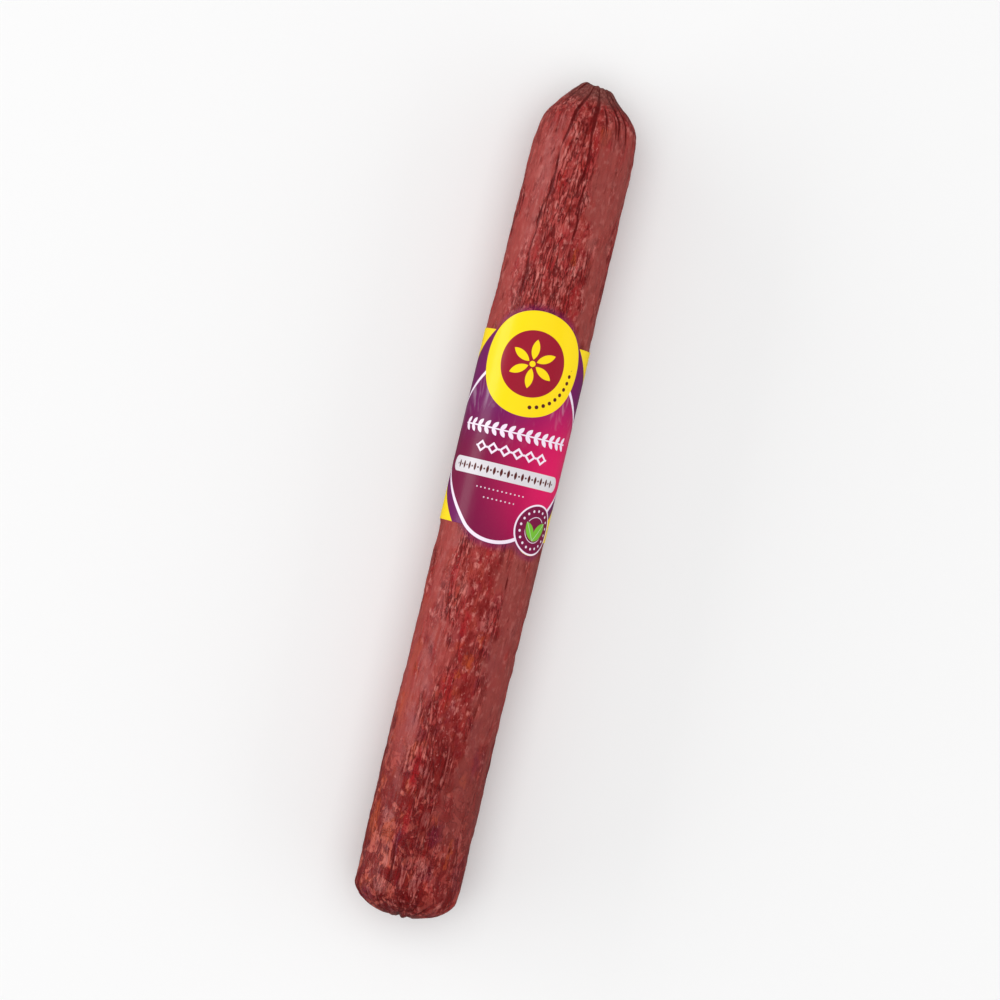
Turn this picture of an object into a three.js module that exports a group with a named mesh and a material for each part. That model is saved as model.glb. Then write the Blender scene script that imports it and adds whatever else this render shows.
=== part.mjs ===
// A cured sausage: a straight stick of dry salami lying on its side, with a film label wrapped round
// its middle and an aluminium clip crimped round the neck of casing at each end.
//
// Millimetres. The stick lies along X with its gathered end at +X and rests on the plane z = 0.
// The front of the label looks up, along +Z. The origin is under the middle of the stick.

import * as THREE from 'three';

// ---- driving dimensions -------------------------------------------------------------------------

const LENGTH = 272; // from end to end
const BODY_RADIUS = 16.6; // the stick from its blunt end to the label
const SLIM_RADIUS = 16.3; // the slightly slimmer stretch between the label and the gathered end
const SLIM_START = 66; // where along the stick it is as slim as that
const LABEL_THICKNESS = 0.3;
const CLEARANCE = 0.3; // between pieces that touch on the real thing
const REST_ANGLE = THREE.MathUtils.degToRad(12); // half the arc that has settled flat underneath

const DOME_DEPTH = 9.5; // how far the blunt end bulges past its shoulder
const CONE_LENGTH = 8; // the straight slope of the gathered end, near 45 degrees
const CONE_BASE_RADIUS = 11.6;
const SHOULDER_LENGTH = 22; // from the tip back to where the stick has its full girth

const PLEATS = 12; // folds of the casing round each end
const PLEAT_DEPTH = 0.55;
const PLEAT_LENGTH = 15; // how far the folds run back along the stick

const RIM_RADIUS = 4.2; // mouth of the hollow that each neck sits in
const HOLLOW_RADIUS = 3.1;
const HOLLOW_DEPTH = 4.2;
const LIP_DROP = 0.5; // roundness of the hollow's lip
const NECK_RADIUS = 0.9; // twisted tail of casing
const NECK_RECESS = 0.7; // the tail stops this far short of the stick's end

const CLIP_WIRE_RADIUS = 0.55;
const CLIP_STRETCH = 1.2; // a crimped clip is wider than it is high
const CLIP_DEPTH = 2.1; // from the stick's end to the clip's middle

const BAND_START = -9.9; // the label's straight edge nearer the blunt end
const BAND_END = 52.2; // and nearer the gathered end
const BADGE = { along: 44, across: 0.15, radius: 16.8 };
const SEAL = { along: -6.7, across: 14.8, radius: 8.2 };
const PANEL_FOOT = { along: 0.8, across: 0, radius: 14.7 }; // the panel's rounded lower corner

// ---- values worked out from them ----------------------------------------------------------------

const HALF_LENGTH = LENGTH / 2;
const LABEL_INNER_RADIUS = BODY_RADIUS + CLEARANCE;
const LABEL_OUTER_RADIUS = LABEL_INNER_RADIUS + LABEL_THICKNESS;
const AXIS_HEIGHT = BODY_RADIUS * Math.cos(REST_ANGLE);
const CLIP_RING_RADIUS = NECK_RADIUS + CLEARANCE + CLIP_WIRE_RADIUS;
const LABEL_SEAT_START = BAND_START - CLEARANCE;
const LABEL_SEAT_END = BAND_END + CLEARANCE;
const LABEL_SEAT_STEP = 0.3; // length of the step down to the label's seat underneath

const BODY_SIDES = 60;
const LABEL_SIDES = 120;
const CURVE_STEPS = 6;

// ---- helpers ------------------------------------------------------------------------------------

// Moves every vertex of a geometry by a function that changes the point it is given.
function movePoints(geometry, change) {
  const positions = geometry.attributes.position;
  const point = new THREE.Vector3();
  for (let i = 0; i < positions.count; i += 1) {
    point.fromBufferAttribute(positions, i);
    change(point);
    positions.setXYZ(i, point.x, point.y, point.z);
  }
  geometry.computeVertexNormals();
  return geometry;
}

// Lays a shape turned about Y down along X, at the height of the stick's axis. The seam of the turned
// shape ends up underneath.
function layDown(geometry) {
  geometry.rotateZ(-Math.PI / 2);
  geometry.rotateX(-Math.PI / 2);
  geometry.translate(0, 0, AXIS_HEIGHT);
  return geometry;
}

// Whatever would hang below the given height has settled flat onto it.
function settle(point, floor) {
  point.z = Math.max(point.z, floor);
}

// ---- the stick ----------------------------------------------------------------------------------

// Half the outline of the stick, from the tail at the blunt end to the tail at the gathered end, as
// distance from the axis and place along it.
function stickOutline() {
  const outline = new THREE.Path();
  const blunt = -HALF_LENGTH;
  outline.moveTo(0, blunt + NECK_RECESS);
  outline.lineTo(NECK_RADIUS, blunt + NECK_RECESS);
  outline.lineTo(NECK_RADIUS, blunt + HOLLOW_DEPTH);
  outline.lineTo(HOLLOW_RADIUS, blunt + HOLLOW_DEPTH);
  outline.lineTo(HOLLOW_RADIUS, blunt + LIP_DROP);
  outline.quadraticCurveTo(HOLLOW_RADIUS, blunt, RIM_RADIUS, blunt);
  const domeStart = -Math.acos(RIM_RADIUS / BODY_RADIUS);
  const domeRise = DOME_DEPTH / -Math.sin(domeStart);
  outline.absellipse(0, blunt + DOME_DEPTH, BODY_RADIUS, domeRise, domeStart, 0, false, 0);
  outline.lineTo(BODY_RADIUS, LABEL_SEAT_START - LABEL_SEAT_STEP);
  outline.lineTo(BODY_RADIUS, LABEL_SEAT_START);
  outline.lineTo(BODY_RADIUS, LABEL_SEAT_END);
  outline.lineTo(BODY_RADIUS, LABEL_SEAT_END + LABEL_SEAT_STEP);
  outline.lineTo(SLIM_RADIUS, SLIM_START);
  const tip = HALF_LENGTH;
  outline.lineTo(SLIM_RADIUS, tip - SHOULDER_LENGTH);
  outline.bezierCurveTo(
    SLIM_RADIUS - 0.3, tip - 1.6 * CONE_LENGTH,
    CONE_BASE_RADIUS + 2, tip - CONE_LENGTH - 2.1,
    CONE_BASE_RADIUS, tip - CONE_LENGTH,
  );
  outline.lineTo(RIM_RADIUS + 1, tip - 3 * LIP_DROP);
  outline.quadraticCurveTo(RIM_RADIUS - 0.2, tip, RIM_RADIUS - 0.6, tip);
  outline.quadraticCurveTo(HOLLOW_RADIUS, tip, HOLLOW_RADIUS, tip - LIP_DROP);
  outline.lineTo(HOLLOW_RADIUS, tip - HOLLOW_DEPTH);
  outline.lineTo(NECK_RADIUS, tip - HOLLOW_DEPTH);
  outline.lineTo(NECK_RADIUS, tip - NECK_RECESS);
  outline.lineTo(0, tip - NECK_RECESS);
  return outline.getPoints(CURVE_STEPS);
}

// Draws the casing in between the pleats. The folds are deepest at the rim of each end and die out
// along the stick, and they leave the hollow and the tail inside it round.
function pleat(point) {
  const fromEnd = HALF_LENGTH - Math.abs(point.x);
  const height = point.z - AXIS_HEIGHT;
  const radius = Math.hypot(point.y, height);
  if (fromEnd > PLEAT_LENGTH || radius <= HOLLOW_RADIUS + 0.01) {
    return;
  }
  const angle = Math.atan2(point.y, height);
  const fade = (1 - fromEnd / PLEAT_LENGTH) ** 2;
  const depth = PLEAT_DEPTH * fade * (0.5 - 0.5 * Math.cos(PLEATS * angle));
  const drawnIn = (radius - depth) / radius;
  point.y *= drawnIn;
  point.z = AXIS_HEIGHT + height * drawnIn;
}

function stickGeometry() {
  const geometry = layDown(new THREE.LatheGeometry(stickOutline(), BODY_SIDES));
  return movePoints(geometry, (point) => {
    pleat(point);
    const onSeat = point.x > LABEL_SEAT_START - 0.01 && point.x < LABEL_SEAT_END + 0.01;
    settle(point, onSeat ? LABEL_THICKNESS + CLEARANCE : 0);
  });
}

// ---- the label ----------------------------------------------------------------------------------

// How far a round part of the label reaches along the stick, to either side of its own middle, at a
// place across the label. Off the round part it reaches nowhere.
function reach(disc, across) {
  return Math.sqrt(Math.max(0, disc.radius ** 2 - (across - disc.across) ** 2));
}

function labelEnd(across) {
  return Math.max(BAND_END, BADGE.along + reach(BADGE, across));
}

function labelStart(across) {
  return Math.min(
    BAND_START,
    PANEL_FOOT.along - reach(PANEL_FOOT, across),
    SEAL.along - reach(SEAL, across),
  );
}

// A thin ring whose two edges follow the outline of the label.
function labelGeometry() {
  const section = [
    new THREE.Vector2(LABEL_INNER_RADIUS, BAND_START),
    new THREE.Vector2(LABEL_OUTER_RADIUS, BAND_START),
    new THREE.Vector2(LABEL_OUTER_RADIUS, BAND_END),
    new THREE.Vector2(LABEL_INNER_RADIUS, BAND_END),
    new THREE.Vector2(LABEL_INNER_RADIUS, BAND_START),
  ];
  const middle = (BAND_START + BAND_END) / 2;
  const skinMiddle = LABEL_INNER_RADIUS + LABEL_THICKNESS / 2;
  const geometry = layDown(new THREE.LatheGeometry(section, LABEL_SIDES));
  return movePoints(geometry, (point) => {
    const height = point.z - AXIS_HEIGHT;
    const across = LABEL_OUTER_RADIUS * Math.atan2(-point.y, height);
    const isOuter = Math.hypot(point.y, height) > skinMiddle;
    point.x = point.x > middle ? labelEnd(across) : labelStart(across);
    settle(point, isOuter ? 0 : LABEL_THICKNESS);
  });
}

// ---- the clips ----------------------------------------------------------------------------------

// A ring of aluminium wire squeezed round the neck, a little wider than it is high.
function clipGeometry() {
  const geometry = new THREE.TorusGeometry(CLIP_RING_RADIUS, CLIP_WIRE_RADIUS, 8, 24);
  geometry.rotateY(Math.PI / 2);
  return movePoints(geometry, (point) => {
    point.y *= CLIP_STRETCH;
  });
}

// ---- materials and assembly ---------------------------------------------------------------------

const meatInCasing = new THREE.MeshStandardMaterial({ color: 0x93403b, roughness: 0.4, metalness: 0 });
const printedFilm = new THREE.MeshStandardMaterial({ color: 0xf5cf12, roughness: 0.3, metalness: 0 });
const aluminium = new THREE.MeshStandardMaterial({ color: 0xc9cbcd, roughness: 0.35, metalness: 1 });

const group = new THREE.Group();

function addPiece(name, geometry, material, along = 0, height = 0) {
  const piece = new THREE.Mesh(geometry, material);
  piece.name = name;
  piece.position.set(along, 0, height);
  group.add(piece);
}

addPiece('salami_body', stickGeometry(), meatInCasing);
addPiece('label_wrap', labelGeometry(), printedFilm);
addPiece('gathered_end_clip', clipGeometry(), aluminium, HALF_LENGTH - CLIP_DEPTH, AXIS_HEIGHT);
addPiece('blunt_end_clip', clipGeometry(), aluminium, CLIP_DEPTH - HALF_LENGTH, AXIS_HEIGHT);

export default group;
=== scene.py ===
"""A cured sausage: a straight stick of dry salami in its tight casing, with a printed film label
wrapped round its middle and an aluminium clip crimped on the twisted casing at each end.

Laid out as a Blender add-on. Sizes in the code are in millimetres until a mesh is made. The stick
lies along X with its gathered end at +X, and the front of the label looks up.
"""

import math

import bpy
import numpy as np
from bpy.props import FloatProperty, FloatVectorProperty, IntProperty, PointerProperty
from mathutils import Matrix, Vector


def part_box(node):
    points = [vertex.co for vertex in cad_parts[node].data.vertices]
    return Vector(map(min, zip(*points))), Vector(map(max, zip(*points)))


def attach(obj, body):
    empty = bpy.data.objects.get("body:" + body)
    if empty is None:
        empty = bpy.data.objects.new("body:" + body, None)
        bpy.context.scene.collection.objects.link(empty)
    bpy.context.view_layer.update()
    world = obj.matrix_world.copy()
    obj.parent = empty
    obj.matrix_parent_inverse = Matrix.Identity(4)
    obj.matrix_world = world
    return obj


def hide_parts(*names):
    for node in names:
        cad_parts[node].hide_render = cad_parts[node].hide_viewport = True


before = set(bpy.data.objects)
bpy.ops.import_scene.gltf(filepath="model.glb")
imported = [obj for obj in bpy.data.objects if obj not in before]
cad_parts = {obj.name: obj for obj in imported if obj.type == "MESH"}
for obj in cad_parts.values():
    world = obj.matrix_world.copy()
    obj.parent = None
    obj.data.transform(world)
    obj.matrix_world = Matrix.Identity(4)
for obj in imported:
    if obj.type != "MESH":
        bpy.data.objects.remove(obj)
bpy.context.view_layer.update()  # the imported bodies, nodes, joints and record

bl_info = {
    "name": "Cured Sausage",
    "version": (1, 0, 0),
    "blender": (4, 5, 0),
    "location": "3D View > Sidebar > Sausage",
    "description": "Builds a stick of dry salami with its casing, film label and end clips",
    "category": "Add Mesh",
}

# ---- sizes in millimetres, read from the frame where it holds them ------------------------------

MM = 0.001
STICK_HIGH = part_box("salami_body")[1] / MM
LABEL_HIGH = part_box("label_wrap")[1] / MM

HALF_LENGTH = STICK_HIGH.x
STICK_RADIUS = STICK_HIGH.y
LABEL_RADIUS = LABEL_HIGH.y
AXIS_HEIGHT = LABEL_HIGH.z - LABEL_RADIUS
SLIM_RADIUS = STICK_RADIUS - 0.3  # between the label and the gathered end
SLIM_START = 66.0  # where the stick has come down to that girth

DOME_DEPTH = 9.5  # bulge of the blunt end past its shoulder
FULLER_SIDE = 0.12  # by how much less of that depth the bulge starts on the +Y side
CONE_TOP = (0.9, 5.5)  # straight slope of the gathered end: distance in from the tip, and radius
CONE_BASE = (10.0, 13.3)
TIP_OFFSET = 0.15  # of the gathered mouth towards +Y
SHOULDER_LENGTH = 22.0  # from the tip back to full girth
RIM_RADIUS = 4.2  # mouth of the hollow that the blunt end's clip sits in
TIP_RIM_RADIUS = 3.7  # the same at the gathered end

# The label's outline: a band, and three round parts that reach past it at the front.
BAND_START, BAND_END = -9.9, 52.2
BADGE = {"along": 44.0, "across": 0.15, "radius": 16.8}
SEAL = {"along": -6.7, "across": 14.8, "radius": 8.2}
PANEL_FOOT = {"along": 0.8, "across": 0.0, "radius": 14.7}
LABEL_THICKNESS = 0.16
LABEL_STANDS_OFF = 0.06  # between the label's inner face and the casing under it

# ---- what a user would change -------------------------------------------------------------------


def screen_colour(name, description, default):
    """A colour property in screen values, from 0 to 1."""
    return FloatVectorProperty(
        name=name, description=description, default=default, subtype="COLOR_GAMMA", min=0, max=1
    )


def depth(name, description, default):
    """A depth property, kept in metres."""
    return FloatProperty(
        name=name, description=description, default=default * MM, unit="LENGTH", min=0
    )


def power(name, description, default):
    """The power of a light."""
    return FloatProperty(name=name, description=description, default=default, unit="POWER")


class SausageShape(bpy.types.PropertyGroup):
    """How strongly the casing is shaped."""

    sway: depth("Sway", "How far the sides wander from straight", 0.17)
    dents: depth("Dents", "Depth of the broad hollows between lumps of meat", 0.1)
    wrinkles: depth("Wrinkles", "Depth of the fine lengthwise wrinkles of the casing", 0.17)
    creases: depth("Creases", "Depth of the long folds in the casing", 0.3)
    ridges: depth("Ridges", "Height of the pinched ridges in the casing", 0.16)
    pleats: depth("Pleats", "Depth of the folds gathered into each end", 1.0)
    pleat_count: IntProperty(
        name="Pleats", description="Number of folds round each end", default=21, min=3
    )
    columns: IntProperty(
        name="Columns", description="Faces round the stick", default=256, min=32
    )


class SausageColours(bpy.types.PropertyGroup):
    """Screen colours of the meat, the casing, the clips, and the painted shade and sheen."""

    meat: screen_colour("Meat", "The ground tone of the meat", (0.64, 0.23, 0.215))
    # Painted shade, laid in folds, crease lines, cracks and between layers of bunched casing; in
    # folds it is partly the darker double layer of casing.
    crease_shade: screen_colour("Crease", "The bottom of a fold in the casing", (0.36, 0.01, 0.02))
    shade: screen_colour("Shade", "Dark maroon between the pieces of meat", (0.44, 0.03, 0.03))
    lean: screen_colour("Lean", "Bright red lean meat", (0.62, 0.06, 0.09))
    fat: screen_colour("Fat", "Pale flecks of fat", (0.84, 0.5, 0.47))
    paprika: screen_colour("Paprika", "Orange stain of paprika and rendered fat", (0.7, 0.27, 0.13))
    violet: screen_colour("Violet", "Cool tint of cured meat", (0.42, 0.09, 0.19))
    # The tone of the painted sheen, a milky reflection laid in strips along the casing.
    haze: screen_colour("Haze", "Casing that stands a little off the meat", (0.62, 0.26, 0.24))
    film: screen_colour("Film", "Bunched casing where it is many layers thick", (0.48, 0.33, 0.3))
    clip: screen_colour("Clip", "Drawn aluminium wire", (0.88, 0.89, 0.9))


class LabelColours(bpy.types.PropertyGroup):
    """Screen colours of the label's print."""

    yellow: screen_colour("Yellow", "The band and the badge", (0.99, 0.86, 0.02))
    plum: screen_colour("Plum", "Upper part of the panel", (0.45, 0.07, 0.36))
    wine: screen_colour("Wine", "Lower part of the panel", (0.48, 0.05, 0.25))
    magenta: screen_colour("Magenta", "The glow at one side of the panel", (0.88, 0.01, 0.37))
    white: screen_colour("White", "Outlines and ornament", (0.95, 0.89, 0.95))
    badge_red: screen_colour("Badge red", "The disc inside the badge", (0.61, 0.07, 0.17))
    pill: screen_colour("Pill", "The plain grey strip", (0.86, 0.84, 0.86))
    ink: screen_colour("Ink", "Small dark ornament", (0.36, 0.13, 0.12))
    leaf: screen_colour("Leaf", "The two leaves in the seal", (0.46, 0.74, 0.2))


class StudioSettings(bpy.types.PropertyGroup):
    """The light and the camera."""

    left_light: power("Left light", "Power of the softbox on the +Y side", 20.7)
    right_light: power("Right light", "Power of the softbox on the -Y side", 11)
    overhead_light: power("Overhead light", "Power of the large light above", 25)
    lens: FloatProperty(
        name="Lens", description="Focal length", default=135, unit="CAMERA", min=20
    )


# ---- surfaces worked out as arrays --------------------------------------------------------------


def smoothstep(low, high, value):
    """0 below low, 1 above high, and an S-shaped cubic between."""
    share = np.clip((value - low) / (high - low), 0, 1)
    return share * share * (3 - 2 * share)


def bezier(*controls, steps=40):
    """A Bezier curve through its first and last control point: the sum of the controls, each
    weighed by its Bernstein polynomial."""
    share = np.linspace(0, 1, steps)[:, None]
    order = len(controls) - 1
    weights = [
        math.comb(order, i) * (1 - share) ** (order - i) * share**i for i in range(order + 1)
    ]
    return sum(weight * np.array(point, float) for weight, point in zip(weights, controls))


def hollow_outline():
    """The outline of one hollow, from the middle of its tail of twisted casing out to the rim, as
    distance in from the stick's end and distance from the axis."""
    return np.vstack([
        bezier((0.75, 0), (0.6, 0.9), (0.8, 1.5), (1.3, 1.3), steps=12),
        bezier((1.3, 1.3), (1.6, 1.05), (2.4, 0.9), (2.9, 1.25), steps=12),
        bezier((2.9, 1.25), (3.9, 1.9), (4.6, 3.3), (3.2, 3.5), steps=16),
        bezier((3.2, 3.5), (1.6, 3.6), (0.1, 3.0), (0, RIM_RADIUS), steps=16),
    ])


def blunt_end_outline():
    """The hollow, then a quarter of an ellipse out to full girth."""
    start = math.acos(RIM_RADIUS / STICK_RADIUS)
    angle = np.linspace(start, 0, 60)
    rise = DOME_DEPTH / math.sin(start)
    dome = np.column_stack([DOME_DEPTH - rise * np.sin(angle), STICK_RADIUS * np.cos(angle)])
    return np.vstack([hollow_outline(), dome])


def gathered_end_outline():
    """The hollow with a narrower mouth, then a slope near 45 degrees and a round shoulder."""
    mouth = hollow_outline() * (1, TIP_RIM_RADIUS / RIM_RADIUS)
    slope = np.subtract(CONE_BASE, CONE_TOP) / 4
    return np.vstack([
        mouth,
        bezier(mouth[-1], (0, CONE_TOP[1] - 0.8), CONE_TOP, steps=12),
        bezier(CONE_TOP, CONE_BASE, steps=12),
        bezier(
            CONE_BASE,
            CONE_BASE + slope,
            (CONE_BASE[0] + 5, SLIM_RADIUS - 0.4),
            (SHOULDER_LENGTH, SLIM_RADIUS),
        ),
    ])


def stick_outline():
    """Half the stick's outline from tail to tail, as place along the stick and distance from its
    axis. Neighbouring points that fall together are dropped."""
    blunt = blunt_end_outline() - (HALF_LENGTH, 0)
    gathered = gathered_end_outline()[::-1] * (-1, 1) + (HALF_LENGTH, 0)
    start, end = (BAND_END, STICK_RADIUS), (SLIM_START, SLIM_RADIUS)
    waist = bezier(start, (BAND_END + 6, STICK_RADIUS), end)
    outline = np.vstack([blunt, waist, gathered])
    steps = np.linalg.norm(np.diff(outline, axis=0), axis=1)
    return outline[np.concatenate([[True], steps > 1e-6])]


def resample(outline, fine, coarse, fine_stretch):
    """Spreads rows along an outline, fine apart within fine_stretch of either end and coarse apart
    between. Rows are even in the sum of path length over wanted spacing. Returns the path length,
    place along and radius of each row."""
    path = np.concatenate([[0], np.cumsum(np.linalg.norm(np.diff(outline, axis=0), axis=1))])
    dense = np.linspace(0, path[-1], 8000)  # about 25 to the millimetre
    from_end = np.minimum(dense, path[-1] - dense)
    spacing = fine + (coarse - fine) * smoothstep(fine_stretch, fine_stretch * 1.6, from_end)
    count = np.concatenate([[0], np.cumsum(np.diff(dense) / spacing[1:])])
    rows = np.interp(np.linspace(0, count[-1], int(count[-1]) + 1), count, dense)
    return rows, np.interp(rows, path, outline[:, 0]), np.interp(rows, path, outline[:, 1])


class Skin:
    """A grid over the stick: rows run along its outline and columns round it. angle is 0 at the top
    and grows towards -Y, across is the arc length that angle spans at full girth."""

    NOISE_STEP = 0.5  # rows of white noise are this far apart

    def __init__(self, columns):
        self.columns = columns
        self.path, self.along, self.radius = resample(
            stick_outline(), fine=0.44, coarse=1.15, fine_stretch=30
        )
        self.angle = (np.arange(columns) / columns * 2 - 1) * math.pi
        self.across = self.angle * LABEL_RADIUS
        self.from_tip = HALF_LENGTH - self.along[:, None]
        self.from_blunt = HALF_LENGTH + self.along[:, None]

    def noise(self, along, around, seed):
        """Smooth random heights of unit spread. White noise is filtered so that each wave has the
        strength q * exp(-q), where q is the sum of the squares of its frequency times the wanted
        wavelength along and around the stick. It closes round the stick."""
        rows = int(self.path[-1] / self.NOISE_STEP) + 2
        white = np.random.default_rng(seed).standard_normal((rows, self.columns))
        girth = 2 * math.pi * STICK_RADIUS
        along_wave = np.fft.fftfreq(rows, self.NOISE_STEP)[:, None] * along
        around_wave = np.fft.rfftfreq(self.columns, girth / self.columns)[None] * around
        q = along_wave**2 + around_wave**2
        field = np.fft.irfft2(np.fft.rfft2(white) * q * np.exp(-q), s=white.shape)
        place = self.path / self.NOISE_STEP
        low = place.astype(int)
        share = (place - low)[:, None]
        return (field[low] * (1 - share) + field[low + 1] * share) / field.std()


def disc_distance(disc, along, across):
    """Distance outside a round part of the label, negative inside it."""
    return np.hypot(along - disc["along"], across - disc["across"]) - disc["radius"]


def label_distance(along, across):
    """Distance outside the label's outline: the least of the distances to its band and its three
    round parts."""
    middle = (BAND_START + BAND_END) / 2
    band = np.abs(along - middle) - (BAND_END - BAND_START) / 2
    parts = [disc_distance(disc, along, across) for disc in (BADGE, SEAL, PANEL_FOOT)]
    return np.minimum.reduce([np.broadcast_to(band, parts[0].shape), *parts])


SWELL = 0.1  # how far the meat fills the casing out past the plain outline
MOST_SWELL = 0.36  # and how far its highest lump does

# Long folds of the casing: where each starts and ends along the stick, the angle from the top in
# degrees at both places, and how deep it is against the deepest.
LONG_CREASES = (
    (133, 92, -21, -27, 1.0),
    (108, 84, -24, -26, 0.8),
    (100, 60, -30, -33, 0.9),
    (92, 64, -22, -20, 0.8),
    (130, 98, 4, 7, 0.9),
    (118, 96, 8, 11, 0.7),
    (104, 72, 9, 12, 0.9),
    (88, 64, 13, 11, 0.7),
    (84, 62, 2, 0, 0.6),
    (112, 92, -12, -10, 0.6),
    (134, 116, 17, 22, 0.9),
    (133, 112, 30, 40, 0.7),
    (124, 104, -9, -12, 0.5),
    (-17, -50, 30, 32, 0.6),
    (-24, -74, -8, -3, 0.5),
    (-62, -100, 10, 14, 0.5),
    (-104, -129, -22, -24, 1.0),
    (-104, -122, 34, 49, 0.9),
    (-70, -96, -40, -36, 0.5),
    (80, 20, 120, 132, 0.8),
    (-20, -100, 150, 138, 0.8),
    (128, 84, -118, -112, 0.9),
    (-12, -70, -104, -116, 0.7),
    (110, 66, 172, 164, 0.6),
    (-80, -126, -150, -140, 0.8),
    (60, 110, 82, 90, 0.6),
    (-90, -40, 84, 92, 0.6),
)
# Pinched ridges of the casing in the same form; a painted highlight makes them pale along the top.
LONG_RIDGES = (
    (-100, -108, 6, 2, 0.9),
    (-102, -113, 29, 37, 1.0),
    (-106, -116, 12, 14, 0.9),
    (-87, -93, 11, 10, 0.8),
    (-90, -100, -16, -20, 0.7),
    (-112, -124, -30, -24, 0.8),
    (-118, -128, -6, -10, 0.7),
    (-62, -72, 3, 6, 0.6),
    (-40, -52, -14, -11, 0.6),
    (118, 104, -17, -21, 0.9),
    (100, 88, -25, -28, 0.8),
    (126, 118, 8, 9, 0.6),
    (96, 84, 12, 13, 0.7),
    (78, 70, -14, -12, 0.6),
    (-90, -104, 140, 132, 0.8),
    (96, 82, -138, -128, 0.8),
    (-50, -66, -100, -108, 0.8),
    (70, 84, 96, 90, 0.7),
)
CREASE_WIDTH = 0.42  # half the width of a crease at about a third of its depth
CREASE_END = 9.0  # length over which a crease deepens and dies out


def fold_strengths(skin, folds):
    """How strong the long folds of a list are at each point, from 0 to 1: each is a bell curve
    across its own line, which wanders by two sines. It is stronger and weaker by two more, and
    fades at both ends."""
    total = np.zeros((len(skin.path), skin.columns))
    along = skin.along[:, None]
    for i, (start, end, angle_start, angle_end, strength) in enumerate(folds):
        low, high = min(start, end), max(start, end)
        share = np.clip((along - start) / (end - start), 0, 1)
        line = np.radians(angle_start + (angle_end - angle_start) * share)
        line = line + 0.024 * np.sin(along / 6.3 + 2.1 * i) + 0.014 * np.sin(along / 2.3 + i)
        strand = 0.86 + 0.22 * np.sin(along / 3.1 + 1.7 * i)
        strand = strand + 0.16 * np.sin(along / 1.3 + 0.6 * i)
        aside = (skin.angle[None] - line + math.pi) % (2 * math.pi) - math.pi
        run_out = min(CREASE_END, (high - low) / 2)
        fade = smoothstep(low, low + run_out, along) * smoothstep(-high, run_out - high, -along)
        bell = np.exp(-((aside * skin.radius[:, None] / CREASE_WIDTH) ** 2))
        total = np.maximum(total, strength * strand * fade * bell)
    return total


def pleat_depths(skin, count, seed):
    """How deep the gathered folds are at each point, from 0 to 1: rounded ridges between sharp
    valleys, one minus the size of a sine round the stick, with uneven spacing and depth. They are
    deepest on the slopes of the two ends and die out along the stick."""
    spread = skin.noise(60, 24, seed)
    strength = 0.62 + 0.3 * skin.noise(50, 9, seed + 1)
    wave = np.sin(count / 2 * skin.angle[None] + 0.5 * spread)
    valley = (1 - np.abs(wave)) ** 1.4
    tip = smoothstep(30, 7, skin.from_tip)
    blunt = smoothstep(13, 3, skin.from_blunt)
    reach = np.where(skin.from_tip < skin.from_blunt, tip, 0.7 * blunt)
    narrow = np.clip(skin.radius[:, None] / 11, 0.12, 1)
    return valley * np.clip(strength, 0.1, 1.3) * reach * narrow


def stick_surface(shape):
    """The casing's surface: a circle carried along the outline, pushed in by pleats, creases and
    wrinkles and out by ridges and broad lumps, lifted flat where it lies, and drawn tight under
    the label. Over the blunt end's face the pleats are pushed in along the stick as well. Returns
    the skin, its grid of points in millimetres, and how folded and how pinched each point is."""
    skin = Skin(shape.columns)
    along = np.repeat(skin.along[:, None], skin.columns, axis=1)
    across = np.repeat(skin.across[None], len(skin.path), axis=0)
    creases = fold_strengths(skin, LONG_CREASES)
    ridges = fold_strengths(skin, LONG_RIDGES)
    pleats = pleat_depths(skin, shape.pleat_count, seed=5)
    ribbing = skin.noise(13, 2.6, seed=11)
    patches = smoothstep(-0.4, 1.0, skin.noise(40, 14, seed=12))
    wrinkles = np.exp(-((ribbing / 0.3) ** 2)) * patches
    near_axis = np.clip(skin.radius[:, None] / 12, 0, 1)
    relief = shape.sway * skin.noise(85, 75, seed=1) + shape.dents * skin.noise(15, 9, seed=2)
    relief = relief + 0.3 * shape.wrinkles * skin.noise(5, 3, seed=3)
    relief = relief - shape.wrinkles * wrinkles - shape.creases * creases + shape.ridges * ridges
    relief = relief / MM * near_axis - shape.pleats / MM * pleats

    under_label = smoothstep(1.3, 0.1, label_distance(along, across))
    seat = LABEL_RADIUS - LABEL_THICKNESS - LABEL_STANDS_OFF
    radius = np.clip(skin.radius[:, None] + np.minimum(relief + SWELL, MOST_SWELL), 0, None)
    radius = radius * (1 - under_label) + seat * under_label

    y = -radius * np.sin(skin.angle) + TIP_OFFSET * smoothstep(14, 2, skin.from_tip)
    z = radius * np.cos(skin.angle)
    along = end_lean(skin, along, y, z)
    along = along + shape.pleats / MM * pleats * smoothstep(DOME_DEPTH, 2, skin.from_blunt)
    floor = np.where(label_distance(along, across) < 0.6, LABEL_THICKNESS + LABEL_STANDS_OFF, 0)
    z = np.maximum(z + AXIS_HEIGHT, floor)
    # How folded each point is; the material lays painted shade by it.
    folded = np.clip(creases + 0.55 * wrinkles * (1 - under_label) + 1.35 * pleats, 0, 1)
    return skin, np.stack([along, y, z], axis=2), folded, ridges


# Strips of painted sheen: a milky reflection painted down both sides of the front and over the
# back.
PAINTED_SHEEN_STRIPS = ((56, 28), (-58, 22), (128, 20), (-134, 24))  # middle and half width in degrees
PAINTED_SHEEN_EDGE = 5  # half the width over which a strip fades, in degrees


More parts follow.
